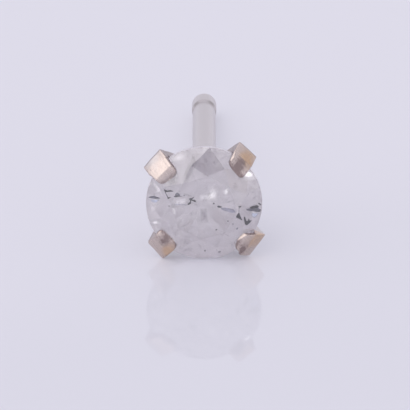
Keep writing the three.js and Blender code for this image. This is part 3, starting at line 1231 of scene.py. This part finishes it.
@dataclass
class Claw:
    """One claw: a square bar that leans out from the foot and folds in along the crown.

    It is a rounded rectangle carried along the bar. At each station the rectangle spans from a point
    on the bar's inner line to one on its outer line, and is as wide as the bar is there. Station 0 is
    at the foot, 1 at the waist, 2 at the bend, 3 over the girdle and 4 at the tip. Over the last
    stretch, the nose, both its sides shrink along a superellipse, to a rounded and domed end.

    Width and tip are its widths up to the girdle and at the tip, reach and bend the outer bend's
    radius and height, and lap the radius at which the tip ends. Skew leans the tip to one side, and
    slant cuts its end aslant. A spot is a share of the way from the fold to the tip, and of half the
    width.
    """

    name: str
    azimuth: float
    turn: float
    width: float
    tip: float
    reach: float
    bend: float
    lap: float
    seed: int
    warm_spot: tuple[float, float]
    # The dark spot is painted shade with some tarnish.
    dark_spot: tuple[float, float]
    dark_amount: float
    skew: float = 0.0
    slant: float = 0.0
    nose: float = 0.2
    rub: float = 1.0
    flats: tuple[Flat, ...] = ()
    foot_radius: float = 0.9
    foot_lap: float = 0.05
    waist: float = -0.6
    thickness: float = 0.62
    tip_thickness: float = 0.165
    gap: float = 0.025
    inner_arcs: tuple[float, ...] = (0, 0.1, 0.03, 0.03, 0)
    outer_arcs: tuple[float, ...] = (0, 0.3, 0.07, 0.25, 0)
    edge: float = 0.04
    nose_edge: float = 0.08
    inner_edge: float = 0.03
    most_edge: float = 0.9
    most_inner_edge: float = 0.1
    nose_power: float = 3.4
    dome_power: float = 1.12
    dents: float = 0.007
    dent_length: float = 0.6
    shaft_rings: int = 45
    crown_rings: int = 30
    last_ring: float = 0.99
    fold_station: float = 2.0
    spot_sizes: tuple[float, float] = (0.36, 0.7)
    dark_size: float = 0.72
    rub_station: float = 1.4
    rub_stretch: float = 1.2
    # Painted shade near the stone, then painted shade with grime on the sides:
    painted_contact_shade: float = 0.7
    contact_shade_height: float = 0.12
    contact_shade_fade: float = 1.25
    contact_shade_start: float = 0.2
    side_shade_and_grime: float = 0.8
    side_power: int = 4

    def lines(self, stone: Brilliant, depth: float, stations: np.ndarray) -> tuple[np.ndarray, np.ndarray]:
        """The bar's inner and outer lines, in the plane of the head's axis.

        Args:
            stone: the stone that the claw holds.
            depth: how far the foot's back lies behind the girdle's plane.
            stations: where points are wanted.

        Returns:
            The points (radius, height) on the inner line, and those on the outer line.
        """
        lean, seat = math.radians(stone.kite_angle), stone.girdle_depth / 2
        proud = np.array((math.sin(lean), math.cos(lean)))
        crown = np.array([(r, stone.crown_height(r)) for r in (stone.radius, self.lap)])
        under = crown + proud * self.gap
        over = under + proud * self.tip_thickness
        back = -depth + self.foot_lap
        slope = (self.reach - self.foot_radius) / (self.bend + depth)
        inner = (
            (self.foot_radius - self.thickness, back),
            (stone.pavilion_radius(self.waist) + self.gap, self.waist - self.gap),
            (stone.radius + self.gap, -seat - self.gap),
            *under,
        )
        outer = (
            (self.foot_radius + slope * (back + depth), back),
            (self.foot_radius + slope * (self.waist + depth), self.waist),
            (self.reach, self.bend),
            *over,
        )
        inner_line = followed(np.array(inner), np.array(self.inner_arcs), stations)
        return inner_line, followed(np.array(outer), np.array(self.outer_arcs), stations)

    def skin(self, stone: Brilliant, depth: float) -> Skin:
        """The bar's rounded rectangles, in the head's frame, with their wear.

        Args:
            stone: the stone that the claw holds.
            depth: how far the foot's back lies behind the girdle's plane.

        Returns:
            The closed surface.
        """
        shaft = np.linspace(0, GIRDLE_STATION, self.shaft_rings)[:-1]
        crown = GIRDLE_STATION + (1 - (1 - np.linspace(0, self.last_ring, self.crown_rings)) ** 2)
        stations = np.concatenate((shaft, crown))
        inner, outer = self.lines(stone, depth, stations)
        inwards = np.clip(stations - GIRDLE_STATION, 0, 1)
        from_tip = (1 - inwards) * (stone.radius - self.lap)
        through = np.clip(1 - from_tip / self.nose, 0, 1)
        closing = (1 - through**self.nose_power) ** (1 / self.nose_power)
        outer = inner + (outer - inner) * ((1 - through**self.dome_power) ** (1 / self.dome_power))[:, None]
        span = np.linalg.norm(outer - inner, axis=1)
        across = (outer - inner) / span[:, None]
        wide = (self.width + (self.tip - self.width) * inwards) / 2 * closing
        narrower = np.minimum(span, wide)
        outer_edge = self.edge + (self.nose_edge - self.edge) * through
        outer_edge = np.minimum(outer_edge, self.most_edge * narrower)
        inner_edge = np.minimum(self.inner_edge, self.most_inner_edge * narrower)
        flat, outs = self.rectangle(span, wide, inner_edge, outer_edge)
        lean = math.radians(stone.kite_angle)
        ahead = (self.slant * inwards**2)[:, None] * flat[..., 1]
        radius = inner[:, :1] + across[:, :1] * flat[..., 0] - math.cos(lean) * ahead
        height = inner[:, 1:] + across[:, 1:] * flat[..., 0] + math.sin(lean) * ahead
        aside = flat[..., 1] + self.skew * np.clip(self.reach - radius, 0, None)
        points = np.stack((radius, aside, height), -1)
        normals = outs[..., :1] * np.insert(across, 1, 0, 1)[:, None] + outs[..., 1:] * (0, 1, 0)
        points = points + normals * soft_waves(points, self.dent_length, self.dents, self.seed)[..., None]
        marks = self.wear(stations, flat, wide, np.abs(outs[..., 1]))
        return self.worn_flat(self.stand(points, stone.radius), marks)

    def worn_flat(self, points: np.ndarray, marks: dict[str, np.ndarray]) -> Skin:
        """Wears the flats: what stands out past a flat's plane is pressed down onto it, and shines.

        Args:
            points: the claw's points, in the head's frame.
            marks: its marks. The flats have no grime, painted shade or warmth.

        Returns:
            The claw's surface.
        """
        for worn in self.flats:
            tilt = math.radians(worn.lean)
            facing = np.array((*polar(worn.azimuth, math.sin(tilt)), math.cos(tilt)))
            heights = points @ facing
            proud = np.maximum(heights - (heights.max() - worn.depth), 0)
            points = points - proud[..., None] * facing
            marks = marks | {name: marks[name] * (proud == 0) for name in ("warmth", "grime_and_shade")}
        return Skin(points, marks)

    def wear(
        self, stations: np.ndarray, flat: np.ndarray, wide: np.ndarray, sideways: np.ndarray
    ) -> dict[str, np.ndarray]:
        """Where the claw is rubbed, warm, grimy and darkened by painted shade.

        Rubbing grows from the shaft to the fold. Warmth and the dark spot, which is painted shade with some
        tarnish, fade from their spots' middles as a bell curve. Painted shade darkens the claw near the
        stone and thins out with height over it, and painted shade with grime gathers on the sides.

        Args:
            stations: the number of each ring along the bar.
            flat: each point's distance from the inner line, and sideways.
            wide: half the bar's width at each ring.
            sideways: how far each point faces to a side, from 0 to 1.

        Returns:
            The marks, by name.
        """
        along = ((stations - self.fold_station) / (TIP_STATION - self.fold_station))[:, None]
        aside = flat[..., 1] / wide[:, None]
        (length, breadth), bells = self.spot_sizes, []
        for (at_along, at_aside), size in ((self.warm_spot, 1.0), (self.dark_spot, self.dark_size)):
            distance = ((along - at_along) / length) ** 2 + ((aside - at_aside) / breadth) ** 2
            bells.append(np.exp(-distance / size**2))
        rubbed = self.rub * np.clip((stations - self.rub_station) / self.rub_stretch, 0, 1)
        # Painted shade: darker near the stone, fading out with height over it.
        near_stone = np.clip(self.contact_shade_fade - flat[..., 0] / self.contact_shade_height, 0, 1)
        low = self.painted_contact_shade * near_stone * np.clip(along + self.contact_shade_start, 0, 1)
        spots = self.dark_amount * np.maximum(low, bells[1])
        grime_and_shade = np.maximum(spots, self.side_shade_and_grime * sideways**self.side_power)
        return {"rubbed": rubbed[:, None], "warmth": bells[0], "grime_and_shade": grime_and_shade}

    def stand(self, points: np.ndarray, pivot: float) -> np.ndarray:
        """Turns the bar about a line through the girdle, then round the head's axis to its azimuth.

        Args:
            points: the bar's points (radius, sideways, height).
            pivot: the line's radius.

        Returns:
            The points in the head's frame.
        """
        flat = points[..., :2] - (pivot, 0)
        for angle, shift in ((self.turn, pivot), (self.azimuth, 0)):
            cosine, sine = math.cos(math.radians(angle)), math.sin(math.radians(angle))
            flat = flat @ np.array(((cosine, sine), (-sine, cosine))) + (shift, 0)
        return np.concatenate((flat, points[..., 2:]), -1)

    @staticmethod
    def rectangle(
        span: np.ndarray,
        wide: np.ndarray,
        inner_edge: np.ndarray,
        outer_edge: np.ndarray,
        arc: int = 7,
        side: int = 9,
    ) -> tuple[np.ndarray, np.ndarray]:
        """A rounded rectangle at each station: four arcs, and straight sides between them.

        A corner's arc has its centre one edge radius in from both its sides.

        Args:
            span: length from the inner to the outer line, at each station.
            wide: half the width, at each station.
            inner_edge: radius of the two corners on the inner line.
            outer_edge: radius of the two corners on the outer line.
            arc: points in each corner's arc.
            side: points along each side, between two arcs.

        Returns:
            The points (distance from the inner line, distance sideways) for each station, and the
            outward directions there.
        """
        outermost, sideways = np.array((1, 1, 0, 0)), np.array((-1, 1, 1, -1))
        radius = np.where(outermost, outer_edge[:, None], inner_edge[:, None])
        angles = np.radians(np.array((-90, 0, 90, 180))[:, None] + np.linspace(0, 90, arc))
        facing = np.stack((np.cos(angles), np.sin(angles)), -1)
        centre_out = np.where(outermost, span[:, None] - radius, radius)
        centre_side = sideways * (wide[:, None] - radius)
        centres = np.stack((centre_out, centre_side), -1)
        arcs = centres[:, :, None] + radius[..., None, None] * facing
        share = (np.arange(1, side + 1) / (side + 1))[:, None]
        starts, ends = arcs[:, :, -1:], np.roll(arcs[:, :, :1], -1, 1)
        points = np.concatenate((arcs, starts + share * (ends - starts)), 2)
        sides = np.broadcast_to(facing[:, -1:], (4, side, 2))
        outs = np.broadcast_to(np.concatenate((facing, sides), 1), points.shape)
        return points.reshape(len(span), -1, 2), outs.reshape(len(span), -1, 2)


@dataclass
class TurnedPart:
    """A part turned on the head's axis, from corners of (radius, height) and an arc's radius for each."""

    name: str
    corners: tuple[tuple[float, float, float], ...]
    sides: int
    rubbed: float
    hoop: bool = False
    arc_steps: int = 6

    def skin(self) -> Skin:
        """The profile with its corners rounded, swept round the axis.

        Returns:
            The closed surface, in the head's frame.
        """
        table = np.array(self.corners)
        profile = rounded(table[:, :2], table[:, 2], self.arc_steps, self.hoop)
        marks = {"rubbed": np.array(self.rubbed), "warmth": np.array(0.0), "grime_and_shade": np.array(0.0)}
        return Skin(turned(profile, self.sides), marks, self.hoop)


@dataclass
class Setting:
    """The claw setting: four claws, a bearer ring, a round foot and the ear post."""

    depth: float = 2.25
    foot_thickness: float = 0.3
    foot_radius: float = 1.0
    ring_radii: tuple[float, float] = (1.08, 1.46)
    ring_heights: tuple[float, float] = (-1.35, -0.95)
    ring_edge: float = 0.08
    ring_sides: int = 96
    core: float = 0.02
    post_end: float = -12.15
    post_sides: int = 64
    tip_radius: float = 0.3
    knob_radius: float = 0.42
    groove_radius: float = 0.36
    post_radius: float = 0.39
    weld_radius: float = 0.48
    finish: WornWhiteGold = WornWhiteGold()

    def claws(self) -> list[Claw]:
        """The four claws, each as it was bent.

        Returns:
            The claws.
        """
        # Each claw's dark spot, dark amount and side grime paint shade on it.
        return [
            Claw(
                "claw_upper_right", azimuth=52.5, turn=-5, width=0.77, tip=0.70, reach=2.35, bend=0.02,
                lap=1.5, skew=-0.16, slant=-0.14, seed=3, flats=(Flat(azimuth=131, lean=42, depth=0.03),),
                warm_spot=(0.4, -0.35), dark_spot=(0.86, 0.0), dark_amount=1.5,
            ),
            Claw(
                "claw_upper_left", azimuth=138.5, turn=1.5, width=0.83, tip=0.70, reach=2.31, bend=0.02,
                lap=1.42, skew=0.06, slant=-0.2, seed=5, nose=0.16, rub=0.6,
                warm_spot=(0.3, 3.0), dark_spot=(1.2, -0.4), dark_amount=0.85,
            ),
            Claw(
                "claw_lower_left", azimuth=227, turn=-5, width=0.78, tip=0.82, reach=2.33, bend=-0.05,
                lap=1.53, skew=-0.16, seed=8, nose=0.15, edge=0.08,
                warm_spot=(0.6, 0.8), dark_spot=(0.93, -0.15), dark_amount=1.0,
            ),
            Claw(
                "claw_lower_right", azimuth=318, turn=6, width=0.9, tip=0.56, reach=2.34, bend=-0.25,
                lap=1.57, skew=-0.15, slant=0.3, seed=13, flats=(Flat(azimuth=136, lean=35, depth=0.06),),
                nose=0.12, warm_spot=(0.3, 0.5), dark_spot=(0.66, -0.55), dark_amount=1.2, side_shade_and_grime=0.3,
            ),
        ]

    def turned_parts(self) -> list[TurnedPart]:
        """The bearer ring, the foot and the ear post.

        Returns:
            The parts.
        """
        (inner, outer), (low, high), edge = self.ring_radii, self.ring_heights, self.ring_edge
        ring = ((inner, low, edge), (outer, low, edge), (outer, high, edge), (inner, high, edge))
        back, front, end = -self.depth, -self.depth + self.foot_thickness, self.post_end
        foot = (
            (self.core, back, 0),
            (self.foot_radius, back, 0.05),
            (self.foot_radius, front, 0.07),
            (self.core, front, 0),
        )
        post = (
            (self.core, end, 0),
            (self.tip_radius, end, 0.05),
            (self.knob_radius, end + 0.12, 0.12),
            (self.knob_radius, end + 0.9, 0.05),
            (self.groove_radius, end + 1.0, 0.08),
            (self.groove_radius, end + 1.25, 0.08),
            (self.post_radius, end + 1.35, 0.15),
            (self.post_radius, back - 0.1, 0.07),
            (self.weld_radius, back + 0.02, 0.02),
            (self.core, back + 0.04, 0),
        )
        return [
            TurnedPart("bearer_ring", ring, self.ring_sides, rubbed=0.2, hoop=True),
            TurnedPart("foot", foot, self.ring_sides, rubbed=0.1),
            TurnedPart("ear_post", post, self.post_sides, rubbed=0.0),
        ]

    def build(self, stone: Brilliant, place: HeadFrame) -> list[bpy.types.Object]:
        """Makes every piece of the setting in the same worn metal.

        Args:
            stone: the stone that the claws hold.
            place: the head's frame.

        Returns:
            The pieces.
        """
        metal = self.finish.material(place)
        skins = {claw.name: claw.skin(stone, self.depth) for claw in self.claws()}
        skins.update((part.name, part.skin()) for part in self.turned_parts())
        return [make_piece(name, [skin], place, metal) for name, skin in skins.items()]


# ---------------------------------------------------------------------------------------------
# The studio
# ---------------------------------------------------------------------------------------------


@dataclass(frozen=True)
class TentPatch:
    """A soft-edged round patch of the light tent: where it is, how wide, and its colour.

    Azimuth 0 is in front of the object and 90 to its right. Inner and outer are the angles from the
    patch's middle at which it starts to fade and is gone, in degrees.
    """

    azimuth: float
    elevation: float
    inner: float
    outer: float
    colour: Colour

    def heading(self) -> tuple[float, float, float]:
        """The direction from the object to the patch's middle."""
        side, rise = math.radians(self.azimuth), math.radians(self.elevation)
        return math.sin(side) * math.cos(rise), -math.cos(side) * math.cos(rise), math.sin(rise)

    def limits(self) -> tuple[float, float]:
        """Cosines of the angles where the patch is gone and where it starts to fade."""
        return math.cos(math.radians(self.outer)), math.cos(math.radians(self.inner))


@dataclass
class Studio:
    """Pale tent light, a glossy pale floor and the camera."""

    tent: Colour = (0.83, 0.815, 0.90)
    floor_finish: GlossyFloor = GlossyFloor()
    floor_side: float = 1.0
    view_rise: float = 16.3
    distance: float = 200.0
    field_width: float = 13.408
    shift_right: float = 0.029
    shift_down: float = 0.082
    sensor: float = 36.0
    nearest: float = 0.001
    bounces: int = 96
    diffuse_bounces: int = 4
    brightest_bounce: float = 6.0

    def patches(self) -> list[TentPatch]:
        """The brighter and darker parts of the tent.

        Returns:
            The patches, each laid over those before it.
        """
        return [
            TentPatch(-50, 52, inner=22, outer=36, colour=(1.38, 1.34, 1.38)),
            TentPatch(-60, 25, inner=4, outer=11, colour=(1.75, 1.7, 1.72)),
            TentPatch(14, 55, inner=8, outer=15, colour=(0.2, 0.19, 0.23)),
            TentPatch(0, 25, inner=4, outer=10, colour=(0.04, 0.035, 0.04)),
            TentPatch(61, 22, inner=9, outer=17, colour=(0.68, 0.64, 0.66)),
            TentPatch(118, 34, inner=10, outer=30, colour=(0.54, 0.53, 0.57)),
            TentPatch(-122, 26, inner=8, outer=26, colour=(0.54, 0.53, 0.57)),
        ]

    def light(self) -> None:
        """Hangs the tent: one pale colour all round, with its patches mixed over it."""
        world = bpy.data.worlds.new("light_tent")
        bpy.context.scene.world = world
        world.use_nodes = True
        bench = Bench(world.node_tree)
        where = bench.node("TexCoord").outputs["Generated"]
        colour: object = opaque(self.tent)
        for patch in self.patches():
            near = bench.dot(where, patch.heading())
            colour = bench.blend(bench.ramp(near, *patch.limits()), colour, opaque(patch.colour))
        background = bench.node("Background", {"Color": colour, "Strength": 1.0}).outputs[0]
        bench.node("OutputWorld", {"Surface": background})

    def floor(self) -> None:
        """Lays the floor under the object, at height 0."""
        half = self.floor_side / 2
        mesh = bpy.data.meshes.new("floor")
        corners = [(-half, -half, 0), (half, -half, 0), (half, half, 0), (-half, half, 0)]
        mesh.from_pydata(corners, [], [(0, 1, 2, 3)])
        mesh.materials.append(self.floor_finish.material())
        add_object("floor", mesh)

    def camera(self, place: HeadFrame) -> None:
        """Stands the camera in front of the stone, above its table's normal.

        Args:
            place: the head's frame.
        """
        normal = place.axes[2]
        elevation = math.atan2(normal[2], -normal[1]) + math.radians(self.view_rise)
        back = np.array((0, -math.cos(elevation), math.sin(elevation)))
        up = np.array((0, math.sin(elevation), math.cos(elevation)))
        aim = place.origin + (self.shift_right * place.axes[0] - self.shift_down * up) * MM
        lens = bpy.data.cameras.new("camera")
        lens.sensor_width = self.sensor
        lens.lens = self.sensor * self.distance / self.field_width
        lens.clip_start = self.nearest
        camera = add_object("camera", lens)
        camera.location = aim + back * self.distance * MM
        camera.rotation_euler = (math.pi / 2 - elevation, 0, 0)
        bpy.context.scene.camera = camera

    def follow_light(self) -> None:
        """Lets light pass through the stone many times without blurring it or losing it."""
        scene = bpy.context.scene
        scene.view_settings.view_transform = "Standard"
        for kind in ("max", "glossy", "transmission", "volume"):
            setattr(scene.cycles, kind + "_bounces", self.bounces)
        scene.cycles.diffuse_bounces = self.diffuse_bounces
        scene.cycles.blur_glossy = 0.0
        scene.cycles.sample_clamp_indirect = self.brightest_bounce


def main() -> None:
    """Builds the studio and the earring, and reports each piece."""
    logging.basicConfig(level=logging.INFO, format="%(name)s: %(message)s")
    setting, stone = Setting(), Brilliant()
    place = HeadFrame.from_record(frame["record"], setting.post_end)
    studio = Studio()
    studio.follow_light()
    studio.camera(place)
    studio.light()
    studio.floor()
    brilliant = stone.build(place)
    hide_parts("diamond")
    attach(brilliant, "root")
    log.info("%s: %d faces", brilliant.name, len(brilliant.data.polygons))
    for flaw in Flaws().build(stone, place):
        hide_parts("diamond")
        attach(flaw, "root")
        log.info("%s: %d faces", flaw.name, len(flaw.data.polygons))
    for piece in setting.build(stone, place):
        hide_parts("claw_setting")
        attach(piece, "root")
        log.info("%s: %d faces", piece.name, len(piece.data.polygons))


if __name__ == "__main__":
    main()
